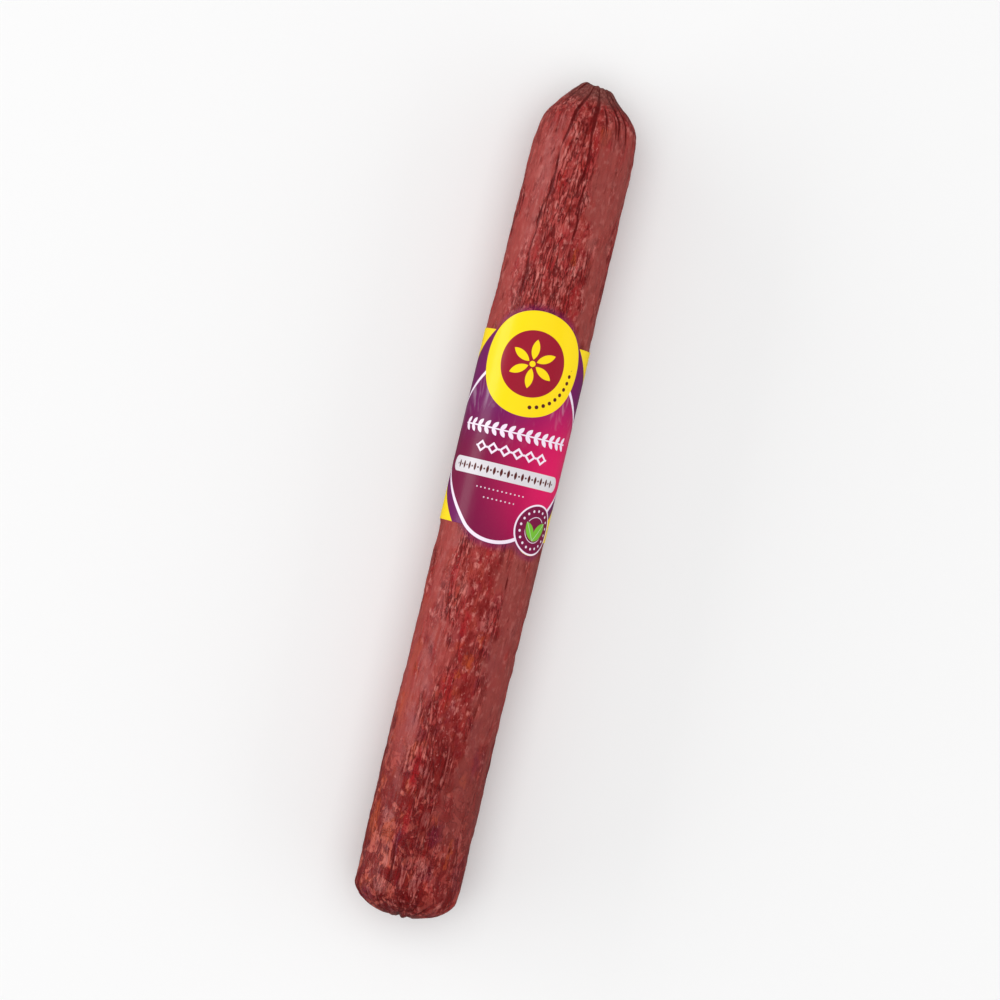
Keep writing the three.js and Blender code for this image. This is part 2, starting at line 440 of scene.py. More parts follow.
def haze(skin):
    """Where a painted sheen, a milky reflection, lies on the casing, from 0 to 1: long strips down
    both sides of the front and over the back, with edges that wander. They stop short of the
    gathered end, and fade out sooner before the blunt end on the +Y side."""
    wander = 10 * skin.noise(44, 34, seed=31) + 4 * skin.noise(10, 7, seed=32)
    angle = (np.degrees(skin.angle)[None] + wander + 180) % 360 - 180
    strips = np.zeros_like(angle)
    for middle, half_width in PAINTED_SHEEN_STRIPS:
        aside = np.abs(angle - middle)
        strip = smoothstep(half_width + PAINTED_SHEEN_EDGE, half_width - PAINTED_SHEEN_EDGE, aside)
        strips = np.maximum(strips, strip)
    thin = smoothstep(1.6, 0.2, skin.noise(22, 11, seed=33))
    clear_end = np.where(angle < 0, 34, 14)
    ends = smoothstep(6, 26, skin.from_tip) * smoothstep(clear_end, clear_end + 24, skin.from_blunt)
    return strips * (0.45 + 0.55 * thin) * (0.15 + 0.85 * ends)


def halo(skin):
    """A rim round the label's round parts, from 1 at their edge to 0 a little way out."""
    along, across = skin.along[:, None], skin.across[None]
    discs = [disc_distance(disc, along, across) for disc in (BADGE, SEAL, PANEL_FOOT)]
    return smoothstep(2.6, 0.2, np.minimum.reduce(discs))


def bunched(skin):
    """Where the casing is many layers thick, from 0 to 1: round each mouth and in its hollow."""
    tip = smoothstep(9, 1.5, skin.from_tip)
    blunt = smoothstep(12, 8, skin.from_blunt) * smoothstep(9.5, 3.5, skin.radius)[:, None]
    return np.repeat(np.maximum(tip, blunt), skin.columns, axis=1)


# How each mouth leans: how far it moves along the stick for each millimetre across, for each
# millimetre up, as a whole, and by its unevenness.
TIP_LEAN = (0.13, -0.08, -0.75, 0.16)
BLUNT_LEAN = (-0.055, 0.04, 0.1, 0.25)


def end_lean(skin, along, y, z):
    """Leans the mouth of each hollow and makes its rim uneven, by moving points along the stick in
    proportion to how far across and up they lie, within a few millimetres of the axis. The blunt
    end's bulge also starts a little sooner on its fuller side."""
    at_mouth = smoothstep(13, 5, skin.radius)[:, None]
    unevenness = skin.noise(80, 11, seed=21)
    tip = at_mouth * smoothstep(12, 4, skin.from_tip)
    blunt = at_mouth * smoothstep(10, 3, skin.from_blunt)
    for reach, (across, up, whole, uneven) in ((tip, TIP_LEAN), (blunt, BLUNT_LEAN)):
        along = along + reach * (across * y + up * z + whole + uneven * unevenness)
    full_side = smoothstep(0, 12, y) * smoothstep(24, DOME_DEPTH, skin.from_blunt)
    along = along - FULLER_SIDE * full_side * skin.from_blunt
    return np.clip(along, -HALF_LENGTH, HALF_LENGTH)


def label_edges(across):
    """Where the label starts and ends along the stick at each place across it."""

    def reach(disc):
        """Half of what a round part spans along the stick."""
        return np.sqrt(np.clip(disc["radius"] ** 2 - (across - disc["across"]) ** 2, 0, None))

    end = np.maximum(BAND_END, BADGE["along"] + reach(BADGE))
    foot = PANEL_FOOT["along"] - reach(PANEL_FOOT)
    seal = SEAL["along"] - reach(SEAL)
    return np.minimum.reduce([np.full_like(across, BAND_START), foot, seal]), end


OVERLAP_ANGLE = math.radians(-128)  # where the label's outer end lies over its inner one
OVERLAP_STEP = 0.13  # how far the radius drops there
OVERLAP_FADE = 0.7  # the angle over which it comes back, in radians


def label_surface(columns=400, outer_rows=96, inner_rows=8, edge_rows=3):
    """The label: a thin ring whose section runs up its outer face, over a rounded edge, back down
    its inner face and round the other edge, with both edges on the label's outline. Just past the
    overlap its radius drops by one thickness of film and comes slowly back."""
    angle = (np.arange(columns) / columns * 2 - 1) * math.pi
    start, end = label_edges(angle * LABEL_RADIUS)
    outer = np.column_stack([np.linspace(0, 1, outer_rows), np.ones(outer_rows)])
    inner = np.column_stack([np.linspace(1, 0, inner_rows), -np.ones(inner_rows)])
    turn = np.linspace(0, math.pi, edge_rows + 2)[1:-1]
    over = np.column_stack([np.ones(edge_rows), np.cos(turn)])
    back = np.column_stack([np.zeros(edge_rows), -np.cos(turn)])
    section = np.vstack([outer, over, inner, back])
    bulge = LABEL_THICKNESS / 2 * np.sqrt(1 - section[:, 1] ** 2) * np.sign(section[:, 0] - 0.5)
    share, side = section[:, :1], section[:, 1:]
    along = start + (end - start) * share + bulge[:, None]
    past = (angle - OVERLAP_ANGLE) % (2 * math.pi)
    drop = OVERLAP_STEP * np.exp(-past / OVERLAP_FADE)
    radius = LABEL_RADIUS + LABEL_THICKNESS / 2 * (side - 1) - drop
    floor = LABEL_THICKNESS / 2 * (1 - side)
    y = -radius * np.sin(angle)
    z = np.maximum(radius * np.cos(angle) + AXIS_HEIGHT, floor)
    return np.stack([along, y, z], axis=2)


# ---- meshes -------------------------------------------------------------------------------------


def quads(rows, columns, close_rows):
    """Corner indices of a grid that closes round its columns, and round its rows if close_rows."""
    row = np.arange(rows if close_rows else rows - 1)[:, None]
    column = np.arange(columns)[None]
    next_row, next_column = (row + 1) % rows, (column + 1) % columns
    corners = [
        row * columns + column,
        row * columns + next_column,
        next_row * columns + next_column,
        next_row * columns + column,
    ]
    return np.stack(corners, axis=2).reshape(-1, 4)


def grid_with_poles(grid):
    """Turns a grid whose first and last row each meet in one point into a list of points and its
    faces: quads between the rings and a fan of triangles at each pole."""
    rows, columns = grid.shape[0] - 2, grid.shape[1]
    points = np.vstack([grid[1:-1].reshape(-1, 3), grid[0].mean(0), grid[-1].mean(0)])
    column = np.arange(columns)
    after = (column + 1) % columns
    last_ring = (rows - 1) * columns
    first_pole, last_pole = (np.full(columns, rows * columns + pole) for pole in (0, 1))
    fans = np.vstack([
        np.column_stack([first_pole, after, column]),
        np.column_stack([last_pole, last_ring + column, last_ring + after]),
    ])
    return points, quads(rows, columns, close_rows=False), fans


def on_points(values):
    """The values of a grid with poles, in the order of its points."""
    return np.concatenate([values[1:-1].ravel(), [values[0].mean(), values[-1].mean()]])


def new_piece(name, points, node, slot, *face_groups):
    """Makes a smooth mesh object from points in millimetres and groups of faces with equally many
    corners, rides it on the root and lets it stand for a CAD node."""
    corners = np.concatenate([faces.ravel() for faces in face_groups]).astype(np.int32)
    sizes = np.concatenate([np.full(len(faces), faces.shape[1]) for faces in face_groups])
    starts = np.concatenate([[0], np.cumsum(sizes)[:-1]]).astype(np.int32)
    mesh = bpy.data.meshes.new(name)
    mesh.vertices.add(len(points))
    mesh.vertices.foreach_set("co", (points * MM).astype(np.float32).ravel())
    mesh.loops.add(len(corners))
    mesh.loops.foreach_set("vertex_index", corners)
    mesh.polygons.add(len(sizes))
    mesh.polygons.foreach_set("loop_start", starts)
    mesh.update(calc_edges=True)
    if mesh.validate():
        raise RuntimeError(f"{name} has broken faces")
    mesh.shade_smooth()
    piece = bpy.data.objects.new(name, mesh)
    bpy.context.scene.collection.objects.link(piece)
    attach(piece, "root")
    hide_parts(node)
    return piece


def add_point_values(piece, name, values):
    """Gives each point of a piece one number that its material can read."""
    attribute = piece.data.attributes.new(name, "FLOAT", "POINT")
    attribute.data.foreach_set("value", values.astype(np.float32))


# ---- patterns made of shader nodes --------------------------------------------------------------

SEED_STEP = (71.3, 13.1, 37.7)  # how far apart in the noise two seeds lie, in millimetres
EDGE_BLUR = 0.12  # width of the soft edge of printed shapes


class Field:
    """A number or vector that shader nodes work out at each point of a surface. Sums and products
    of fields add nodes to the tree, so that a pattern reads as its formula."""

    def __init__(self, tree, socket):
        self.tree = tree
        self.socket = socket

    def math(self, operation, *others):
        """What one math node makes of this field and others."""
        node = self.tree.nodes.new("ShaderNodeMath")
        node.operation = operation
        for socket, value in zip(node.inputs, (self, *others)):
            feed(self.tree, socket, value)
        return Field(self.tree, node.outputs[0])

    def __add__(self, other):
        return self.math("ADD", other)

    def __sub__(self, other):
        return self.math("SUBTRACT", other)

    def __mul__(self, other):
        return self.math("MULTIPLY", other)

    def __truediv__(self, other):
        return self.math("DIVIDE", other)

    def __abs__(self):
        return self.math("ABSOLUTE")


def feed(tree, socket, value):
    """Links a field to a socket, or sets the socket to a plain value."""
    if isinstance(value, Field):
        tree.links.new(value.socket, socket)
    else:
        socket.default_value = value


def use_node(tree, kind, settings=None, **inputs):
    """Adds a node with its settings and its inputs, which are named as on the node."""
    node = tree.nodes.new(kind)
    for name, value in (settings or {}).items():
        setattr(node, name, value)
    for name, value in inputs.items():
        feed(tree, node.inputs[name.replace("_", " ")], value)
    return node


def lesser(first, *others):
    """The least of some fields, which is the distance to shapes laid together."""
    for other in others:
        first = first.math("MINIMUM", other)
    return first


def greater(first, *others):
    """The greatest of some fields, which is the distance to what shapes have in common."""
    for other in others:
        first = first.math("MAXIMUM", other)
    return first


def hypotenuse(a, b):
    """The root of the sum of two squares."""
    return (a * a + b * b).math("SQRT")


def rise(field, low, high):
    """0 at low, 1 at high and an S-shaped cubic between; low may be the larger."""
    values = {"Value": field, "From_Min": low, "From_Max": high}
    settings = {"interpolation_type": "SMOOTHSTEP"}
    node = use_node(field.tree, "ShaderNodeMapRange", settings, **values)
    return Field(field.tree, node.outputs["Result"])


def inside(distance):
    """1 inside a shape and 0 outside it, from the distance to its outline in millimetres."""
    return rise(distance, EDGE_BLUR / 2, -EDGE_BLUR / 2)


def rounded_line(distance, width):
    """1 on a line of a given width along a shape's outline."""
    return inside(abs(distance) - width / 2)


def vector_math(operation, first, second):
    """What one vector math node makes of two vectors."""
    node = use_node(first.tree, "ShaderNodeVectorMath", {"operation": operation})
    feed(first.tree, node.inputs[0], first)
    feed(first.tree, node.inputs[1], second)
    return Field(first.tree, node.outputs[0])


def joined(tree, x, y, z):
    """Three numbers as one vector."""
    return Field(tree, use_node(tree, "ShaderNodeCombineXYZ", X=x, Y=y, Z=z).outputs[0])


def grain_group():
    """The node group of cloudy noise that every material uses: the place plus a step for each seed,
    over the length and width of a lump, is the noise's own place."""
    group = bpy.data.node_groups.get("grain")
    if group:
        return group
    group = bpy.data.node_groups.new("grain", "ShaderNodeTree")
    group.interface.new_socket(name="Place", in_out="INPUT", socket_type="NodeSocketVector")
    for name in ("Length", "Width", "Seed", "Detail", "Roughness", "Distortion"):
        group.interface.new_socket(name=name, in_out="INPUT", socket_type="NodeSocketFloat")
    group.interface.new_socket(name="Grain", in_out="OUTPUT", socket_type="NodeSocketFloat")
    sockets = group.nodes.new("NodeGroupInput").outputs[:-1]
    given = {socket.name: Field(group, socket) for socket in sockets}
    step = joined(group, *(given["Seed"] * stride for stride in SEED_STEP))
    lump = joined(group, given["Length"], given["Width"], given["Width"])
    noise = use_node(
        group,
        "ShaderNodeTexNoise",
        Vector=vector_math("DIVIDE", vector_math("ADD", given["Place"], step), lump),
        Scale=1.0,
        Detail=given["Detail"],
        Roughness=given["Roughness"],
        Distortion=given["Distortion"],
    )
    output = group.nodes.new("NodeGroupOutput")
    feed(group, output.inputs["Grain"], Field(group, noise.outputs["Fac"]))
    return group


def grain(place, along, around, seed, detail=2.0, roughness=0.5, distortion=0.0):
    """Cloudy noise from 0 to 1 whose lumps are so many millimetres long and wide."""
    node = use_node(
        place.tree,
        "ShaderNodeGroup",
        {"node_tree": grain_group()},
        Place=place,
        Length=along,
        Width=around,
        Seed=seed,
        Detail=detail,
        Roughness=roughness,
        Distortion=distortion,
    )
    return Field(place.tree, node.outputs["Grain"])


def wandering_lines(place, along, around, seed, width):
    """Thin lines where a cloudy noise passes through its middle value, and that noise."""
    noise = grain(place, along, around, seed, detail=3, roughness=0.55, distortion=0.5)
    return rise(abs(noise - 0.5), width, width * 0.25), noise


def linear(colour):
    """A screen colour as the light values that shaders work in, opaque."""
    screen = np.array(colour[:3])
    light = np.where(screen <= 0.04045, screen / 12.92, ((screen + 0.055) / 1.055) ** 2.4)
    return (*light.tolist(), 1.0)


def tint(tree, share, under, over):
    """The colour under, with over laid on it by share."""
    node = tree.nodes.new("ShaderNodeMix")
    node.data_type = "RGBA"
    feed(tree, node.inputs[0], share)
    feed(tree, node.inputs[6], under if isinstance(under, Field) else linear(under))
    feed(tree, node.inputs[7], over if isinstance(over, Field) else linear(over))
    return Field(tree, node.outputs[2])


class Paint:
    """A colour built up in layers on a ground tone."""

    def __init__(self, tree, ground):
        self.tree = tree
        self.colour = ground

    def lay(self, share, over):
        """Lays a colour over the ones before it, by share."""
        self.colour = tint(self.tree, share, self.colour, over)


def coordinate(tree):
    """Object coordinates in millimetres."""
    node = tree.nodes.new("ShaderNodeTexCoord")
    stretch = use_node(tree, "ShaderNodeVectorMath", {"operation": "SCALE"}, Scale=1 / MM)
    feed(tree, stretch.inputs[0], Field(tree, node.outputs["Object"]))
    return Field(tree, stretch.outputs[0])


def split(vector):
    """The three numbers of a vector."""
    node = use_node(vector.tree, "ShaderNodeSeparateXYZ", Vector=vector)
    return [Field(vector.tree, output) for output in node.outputs]


def point_value(tree, name):
    """The number that each point of the mesh carries under a name."""
    node = use_node(tree, "ShaderNodeAttribute", {"attribute_name": name})
    return Field(tree, node.outputs["Fac"])


def new_material(name, **settings):
    """A material of one Principled shader, whose settings are named as on the shader."""
    material = bpy.data.materials.new(name)
    material.use_nodes = True
    tree = material.node_tree
    shader = tree.nodes["Principled BSDF"]
    for setting, value in settings.items():
        shader.inputs[setting.replace("_", " ")].default_value = value
    return material, tree, shader


def bump(tree, height, depth_millimetres):
    """A normal tipped by a height from 0 to 1 that stands for a depth."""
    distance = depth_millimetres * MM
    node = use_node(tree, "ShaderNodeBump", Height=height, Distance=distance, Strength=1.0)
    return Field(tree, node.outputs["Normal"])


# ---- the meat in its casing ---------------------------------------------------------------------

# Single lumps that show through the front of the casing: the colour's name, the place along and
# across the stick, half the length and half the width, and how strongly each shows.
LUMPS = (
    ("paprika", 79, -4.9, 3.4, 1.2, 0.9),
    ("fat", 75.3, -6, 1.4, 1.4, 0.8),
    ("fat", 98, -4.9, 1.8, 0.7, 0.7),
    ("paprika", 119, -5.5, 3.2, 1.8, 0.45),
    ("fat", 86, -9.5, 3, 2, 0.35),
    ("fat", 104, 12.4, 3, 2, 0.35),
    ("lean", -88, 5.8, 8, 1.3, 0.95),
    ("lean", -62, 2, 7, 1.5, 0.7),
    ("lean", -104, 4.6, 5, 1.2, 0.7),
    ("shade", -88.5, -0.8, 8, 3.6, 0.75),
    ("shade", -104, -0.4, 7, 2.2, 0.6),
    ("violet", -106, -4.9, 5, 2.6, 0.65),
    ("violet", -73.5, 11, 4, 1.6, 0.75),
    ("violet", -84, -12, 5, 1.2, 0.7),
    ("violet", -131, 12, 2.6, 2.4, 0.7),
    ("violet", -112, 6.2, 4.5, 1.2, 0.7),
    ("paprika", -70, 14.6, 8, 1.1, 0.9),
    ("paprika", -107, 15, 7, 1.2, 0.9),
    ("paprika", -88.7, -9.7, 1.8, 1.1, 0.8),
    ("paprika", -102.5, -4.1, 2.4, 1.4, 0.7),
    ("paprika", -110, 10, 5, 2.2, 0.7),
    ("paprika", -111.5, -10.6, 5.5, 0.8, 0.95),
    ("shade", -128, -1.6, 5, 3, 0.55),
    ("lean", -25, 8.2, 7, 0.9, 0.9),
    ("lean", -25, 13.8, 2.5, 1, 0.8),
    ("violet", -50.5, 11, 5, 2, 0.4),
    ("violet", -50.5, -10, 4, 2.4, 0.35),
    ("paprika", -44, -4.4, 2.6, 1.2, 0.55),
    ("paprika", -52, -2.1, 3, 1.8, 0.8),
    ("paprika", -56, 0.4, 2.6, 0.8, 0.8),
    ("paprika", -54, 14.2, 7, 1.2, 0.85),
    ("shade", -57.6, -8, 1.6, 1.2, 0.7),
    ("shade", -46, -1, 6, 1.4, 0.6),
    ("shade", -22, -3.2, 5, 1.8, 0.55),
    ("shade", -34, -2.6, 4, 1.6, 0.65),
    ("lean", -41, 1.4, 4, 1.3, 0.8),
    ("shade", -61.5, -3.4, 4, 2, 0.6),
    ("fat", -29.5, 4.4, 3, 1.6, 0.35),
    ("fat", -39, -4.6, 2.6, 1.2, 0.35),
    ("fat", -104.5, 11, 2.6, 1.6, 0.35),
    ("fat", -126.5, 8, 3, 2, 0.4),
    ("fat", -118, -3.3, 2.6, 1.8, 0.4),
)
BLUNT_HALF = (0, -100)  # where the coarser, stained meat starts and where it is at its fullest
BLUNT_END = (-55, -105)  # the same for the chunks


def paint_meat(paint, place, colours):
    """Lays blotches on the ground tone, longer than they are wide: shade between the pieces, lean
    meat, paprika, violet and fat. The blunt half is darker, and has more of the stains. Returns the
    noise of the pieces."""
    along, sideways, _ = split(place)
    blunt_half = rise(along, *BLUNT_HALF)
    pieces = grain(place, 3.8, 2.2, seed=1, detail=4, roughness=0.6, distortion=0.4)
    paint.lay(blunt_half * 0.3, colours.shade)
    paint.lay(rise(pieces, 0.54, 0.34) * 0.85, colours.shade)
    lean = grain(place, 8, 3.6, seed=2, detail=3, distortion=0.6)
    paint.lay(rise(lean, 0.5, 0.64) * 0.55, colours.lean)
    paprika = grain(place, 6, 3.2, seed=3, detail=4, distortion=0.6)
    edge_stain = rise(sideways, 10.5, 15.5) * blunt_half * 0.6
    stain = blunt_half * rise(sideways, -10, 4) * 0.4 + edge_stain + 0.12
    paint.lay(rise(paprika, 0.5, 0.64) * stain, colours.paprika)
    violet = grain(place, 7, 4.5, seed=4, detail=3)
    paint.lay(rise(violet, 0.52, 0.64) * (blunt_half * 0.5 + 0.08), colours.violet)
    gloom = grain(place, 17, 9, seed=12, detail=2)
    middle = rise(abs(sideways + 1), 11, 3) * 0.34 + 0.1
    paint.lay(rise(gloom, 0.58, 0.34) * blunt_half * middle, colours.shade)
    fat = grain(place, 2.5, 1.6, seed=10, detail=4, roughness=0.52, distortion=0.15)
    paint.lay(rise(fat, 0.51, 0.7) * (rise(along, *BLUNT_END) * -0.3 + 0.62), colours.fat)
    return pieces


def paint_chunks(paint, place, colours):
    """Lays the coarse chunks of the blunt end: stained fat, more of it on the +Y side, shade
    between, and painted shade in dark cracks where the noise passes through its middle. Returns
    their height."""
    along, sideways, _ = split(place)
    blunt_end = rise(along, *BLUNT_END)
    chunks = grain(place, 4.6, 3.8, seed=14, detail=4, roughness=0.55, distortion=0.9)
    cracks = rise(abs(chunks - 0.5), 0.03, 0.008)
    stained_fat = tint(paint.tree, 0.6, colours.fat, colours.paprika)
    stained_side = rise(sideways, -6, 10) * 0.5 + 0.2
    paint.lay(rise(chunks, 0.51, 0.6) * blunt_end * stained_side, stained_fat)
    paint.lay(rise(chunks, 0.5, 0.42) * blunt_end * 0.9, colours.shade)
    # Painted shade in the cracks between the chunks.
    paint.lay(cracks * blunt_end * 0.6, colours.crease_shade)
    return (chunks * 0.7 - cracks * 0.25) * blunt_end


def paint_lumps(paint, place, colours):
    """Lays each single lump by a soft ellipse round its middle. One pair of cloudy noises warps the
    places of all of them, and they fade out below the stick's axis."""
    along, sideways, up = split(place)
    along = along + (grain(place, 2.6, 2.2, seed=16, detail=3, roughness=0.6) - 0.5) * 9
    sideways = sideways + (grain(place, 3.4, 1.8, seed=17, detail=3, roughness=0.6) - 0.5) * 4.5
    front = rise(up, AXIS_HEIGHT, AXIS_HEIGHT + 3)
    for name, middle, aside, half_length, half_width, strength in LUMPS:
        off = hypotenuse((along - middle) / half_length, (sideways - aside) / half_width)
        paint.lay(rise(off, 1.25, 0.45) * front * strength, getattr(colours, name))


def paint_wrinkles(paint, place, colours, clear_of_sheen):
    """Lays the lengthwise wrinkles of the casing, fainter under the painted sheen: pale threads,
    and dark lines of painted shade at their bottoms, in patches, and small flecks of fat
    everywhere.
    Returns the wrinkles' height."""
    blunt_end = rise(split(place)[0], *BLUNT_END)
    lines, threads = wandering_lines(place, 9, 1.5, seed=5, width=0.05)
    fine_lines, _ = wandering_lines(place, 4.5, 1.1, seed=13, width=0.045)
    patches = rise(grain(place, 26, 8, seed=6, detail=2), 0.36, 0.54)
    paint.lay(rise(threads, 0.54, 0.66) * patches * clear_of_sheen * 0.34, colours.fat)
    # Painted shade: dark lines at the bottoms of the fine and the long wrinkles.
    paint.lay(fine_lines * clear_of_sheen * 0.6, colours.shade)
    paint.lay(lines * patches * clear_of_sheen * (blunt_end * -0.3 + 0.8), colours.crease_shade)
    flecks = grain(place, 2, 1, seed=7, detail=3, distortion=0.3)
    paint.lay(rise(flecks, 0.65, 0.71) * 0.5, colours.fat)
    return (threads - lines * patches) * 0.35


def paint_sheen(paint, place, colours, sheen_mask):
    """Lays the painted sheen, a milky reflection, mottled, with painted shade that makes it darker
    and greyer on the -Y side."""
    along, sideways, _ = split(place)
    mottle = grain(place, 2.6, 1.8, seed=15, detail=3, roughness=0.6)
    shaded_side = rise(sideways, 0, -6)
    sheen_tone = Paint(paint.tree, colours.haze)
    sheen_tone.lay(rise(mottle, 0.38, 0.64) * 0.35, colours.meat)
    # Painted shade: the sheen is made darker and greyer on the -Y side.
    sheen_tone.lay(shaded_side * (rise(along, *BLUNT_HALF) * 0.3 + 0.22), colours.shade)
    sheen_tone.lay(shaded_side * 0.24, colours.film)
    paint.lay(sheen_mask * 0.72, sheen_tone.colour)


def paint_folds(paint, place, colours, folded):
    """Lays a painted highlight along the tops of pinched ridges, painted shade in the bottoms of
    folds, partly the darker double layer of casing, and the bunched casing round each mouth, with
    painted shade in dark lines between its layers."""
    # Painted highlight: pale along the tops of the pinched ridges.
    paint.lay(rise(point_value(paint.tree, "pinched"), 0.3, 0.8) * 0.5, colours.fat)
    # Painted shade in the bottoms of folds and pleats, partly the darker double layer of casing.
    paint.lay(folded * 0.9, colours.crease_shade)
    bunched = point_value(paint.tree, "bunched")
    paint.lay(bunched * 0.64, colours.film)
    between, _ = wandering_lines(place, 7, 0.9, seed=8, width=0.07)
    # Painted shade in the lines between the bunched layers and in their folds.
    paint.lay(bunched * greater(between * 0.7, folded * 0.9), colours.crease_shade)


def salami_material(colours, print_colours):
    """Chopped meat seen through a clear casing: all the layers above, laid in turn, with painted
    shade, highlight and sheen among them, and a rim of the label's own dark tone round its round
    parts. The noises that colour the meat also raise it, less so under the painted sheen."""
    material, tree, shader = new_material(
        "salami_in_casing", Specular_IOR_Level=0.2, Coat_Roughness=0.18
    )
    place = coordinate(tree)
    # Where a milky sheen is painted, from 0 to 1, and where the casing is clear of it.
    sheen_mask = point_value(tree, "haze")
    clear_of_sheen = sheen_mask * -0.8 + 1
    folded = rise(point_value(tree, "folded"), 0.24, 0.72)
    paint = Paint(tree, colours.meat)
    pieces = paint_meat(paint, place, colours)
    chunks = paint_chunks(paint, place, colours)
    paint_lumps(paint, place, colours)
    wrinkles = paint_wrinkles(paint, place, colours, clear_of_sheen)
    paint_sheen(paint, place, colours, sheen_mask)
    paint_folds(paint, place, colours, folded)
    paint.lay(point_value(tree, "halo") * 0.5, print_colours.plum)
    feed(tree, shader.inputs["Base Color"], paint.colour)

    fine = grain(place, 1.8, 1, seed=9, detail=5, roughness=0.65)
    height = (pieces * 0.45 + fine * 0.4 + wrinkles) * clear_of_sheen + chunks
    feed(tree, shader.inputs["Normal"], bump(tree, height, 0.5))
    feed(tree, shader.inputs["Roughness"], rise(fine, 0.2, 0.8) * 0.2 + 0.28)
    feed(tree, shader.inputs["Coat Weight"], folded * -0.12 + 0.14)
    return material


# ---- the label's film and print -----------------------------------------------------------------

PANEL = {"along": 17.4, "across": 0.0, "reach": 31.2, "corner": 14.7}
SURROUND = {"along": 21.5, "across": 0.0, "reach": 40.1, "corner": 15.0}
GLOW = {"along": 10.0, "across": 23.0, "reach": 36.0}
PANEL_LINE = 1.1  # width of the panel's outline
BADGE_DISC_RADIUS = 10.6
BADGE_DOTS = {"count": 38, "ring": 13.7, "radius": 0.62}
PETALS = {"count": 6, "middle": 4.6, "half_length": 3.2, "half_width": 1.25}
SEAL_RIM = 0.55
SEAL_RING_RADIUS = 4.1
SEAL_DOTS = {"count": 18, "ring": 6.1, "radius": 0.42}
LEAF_ROW = {"along": 21.6, "across": 0.15, "half": 19.6, "pitch": 2.8}
LOZENGE_ROW = {"along": 15.4, "across": 0.2, "half": 12.3, "pitch": 4.1}
PILL = {"along": 8.55, "across": -0.25, "half": 21.2, "radius": 2.5}
PILL_PITCH = 2.3
DOT_ROWS = (
    {"along": 2.7, "across": -0.5, "half": 8.4, "pitch": 1.4},
    {"along": -0.2, "across": -0.5, "half": 5.3, "pitch": 1.4},
)
UV_LOW, UV_SPAN = -20.0, 90.0  # the stretch along the stick that the print's map covers


def disc_field(disc, along, across):
    """Distance to a round part."""
    return hypotenuse(along - disc["along"], across - disc["across"]) - disc["radius"]


def diamond_field(shape, along, across):
    """Distance to a square stood on its corner with rounded corners. The nearest point of a sharp
    square of half-diagonal q is q / 2 * (1 - h, 1 + h), where h is (v - u) / q held from -1 to 1,
    and the corner radius is taken off its distance."""
    q = shape["reach"] - shape["corner"]
    u, v = abs(along - shape["along"]), abs(across - shape["across"])
    h = greater(lesser((v - u) / q, 1), -1)
    distance = hypotenuse(u + (h - 1) * (q / 2), v - (h + 1) * (q / 2))
    return distance * (u + v - q).math("SIGN") - shape["corner"]


def lens_field(u, v, half_length, half_width):
    """Distance to a pointed leaf, the overlap of two discs of radius r set c to either side."""
    radius = (half_length**2 / half_width + half_width) / 2
    offset = radius - half_width
    return greater(hypotenuse(u, v - offset), hypotenuse(u, v + offset)) - radius


def turned(u, v, degrees):
    """A place seen along axes turned by so many degrees."""
    cos, sin = math.cos(math.radians(degrees)), math.sin(math.radians(degrees))
    return u * cos + v * sin, v * cos - u * sin


def repeated(value, pitch):
    """Folds a place into one repeat of a row, from -pitch / 2 to pitch / 2."""
    return value.math("FLOORED_MODULO", pitch) - pitch / 2


def in_row(across, row):
    """A place across the label, folded into one repeat of a row of ornament."""
    return repeated(across - (row["across"] - row["half"]), row["pitch"])


def row_end(across, row):
    """Distance past either end of a row of ornament."""
    return abs(across - row["across"]) - row["half"]


def leaf_row(along, across):
    """A garland: a thin stem with pointed leaves in pairs that lean along it."""
    u, v = in_row(across, LEAF_ROW), along - LEAF_ROW["along"]
    leaf = lens_field(*turned(u, abs(v) - 1.02, 52), half_length=1.5, half_width=0.68)
    stem = abs(v) - 0.24
    return greater(lesser(leaf, stem), row_end(across, LEAF_ROW))


def lozenge_row(along, across):
    """Open lozenges with a dot between each two."""
    u, v = in_row(across, LOZENGE_ROW), along - LOZENGE_ROW["along"]
    lozenge = abs((abs(u) + abs(v) - 1.5) * math.sqrt(0.5)) - 0.32
    dot = hypotenuse(abs(u) - LOZENGE_ROW["pitch"] / 2, v) - 0.34
    return greater(lesser(lozenge, dot), row_end(across, LOZENGE_ROW))


def pill_field(along, across):
    """A strip with round ends."""
    outside = greater(abs(across - PILL["across"]) - (PILL["half"] - PILL["radius"]), 0)
    return hypotenuse(outside, along - PILL["along"]) - PILL["radius"]


def pill_ornament(along, across):
    """Small upright leaves and dots in turn, inside the pill."""
    u, v = repeated(across - PILL["across"], PILL_PITCH), along - PILL["along"]
    leaf = lens_field(v, u, half_length=1.3, half_width=0.45)
    dot = hypotenuse(abs(u) - PILL_PITCH / 2, v) - 0.32
    return greater(lesser(leaf, dot), row_end(across, PILL) + 2.6)


def dot_rows(along, across):
    """Two short rows of fine dots."""
    rows = []
    for row in DOT_ROWS:
        dots = hypotenuse(in_row(across, row), along - row["along"]) - 0.26
        rows.append(greater(dots, row_end(across, row)))
    return lesser(*rows)


def around(u, v, count):
    """Folds a place into one of count equal sectors round the centre: distance along the sector's
    middle line and off it."""
    sector = 2 * math.pi / count
    angle = repeated(v.math("ARCTAN2", u) + sector / 2, sector)
    distance = hypotenuse(u, v)
    return distance * angle.math("COSINE"), distance * angle.math("SINE")


def dot_ring(u, v, dots):
    """A ring of dots round the centre."""
    out, aside = around(u, v, dots["count"])
    return hypotenuse(out - dots["ring"], aside) - dots["radius"]


